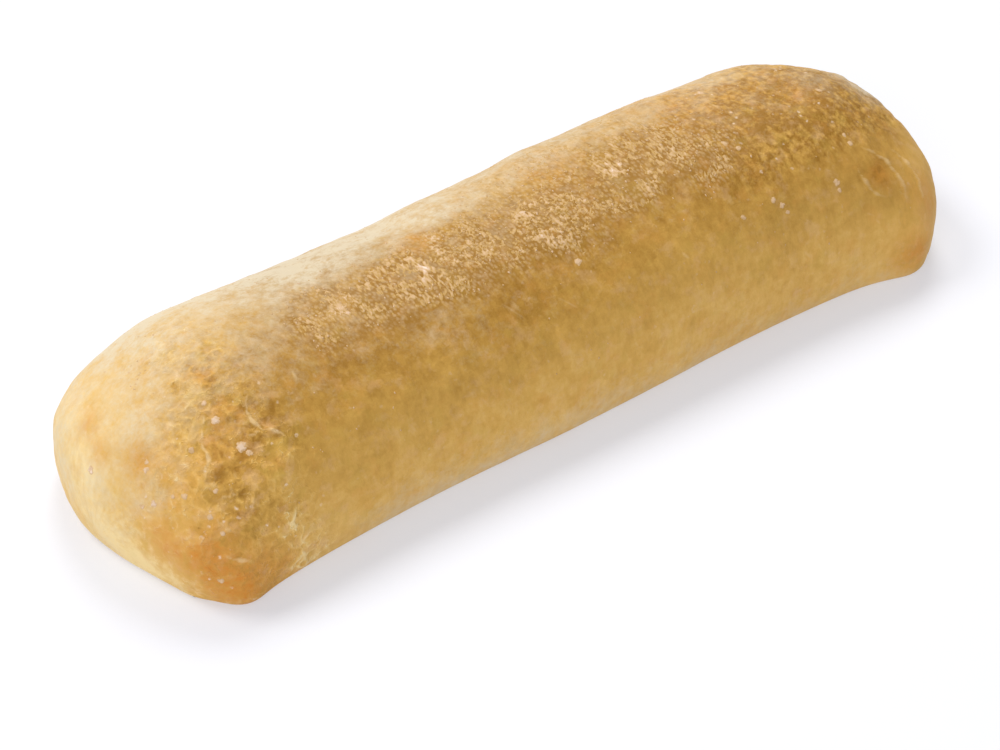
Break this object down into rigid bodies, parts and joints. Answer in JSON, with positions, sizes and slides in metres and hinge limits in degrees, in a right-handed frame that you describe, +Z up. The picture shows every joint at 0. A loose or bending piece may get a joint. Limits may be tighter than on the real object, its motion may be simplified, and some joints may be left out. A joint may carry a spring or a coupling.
{
  "type": "ciabatta loaf",
  "caption": "Long flat-bottomed ciabatta loaf with a domed, flour-dusted crust and blunt ends drawn out at their lower corners.",
  "frame": {"origin": "middle of the flat underside, below the centre of the loaf's bounding box", "axes": "+X along the loaf from the near end to the far end, +Y across it towards its back, +Z up out of the underside"},
  "size_m": [0.2904, 0.0932, 0.0531],
  "materials": {
    "crust": "baked bread crust, golden tan, matt, with a dusting of pale flour along the crown",
    "flour": "baked-on bread flour, dry pale cream powder in grains and small lumps"
  },
  "bodies": {
    "root": {"loaf": "crust"}
  },
  "joints": []
}
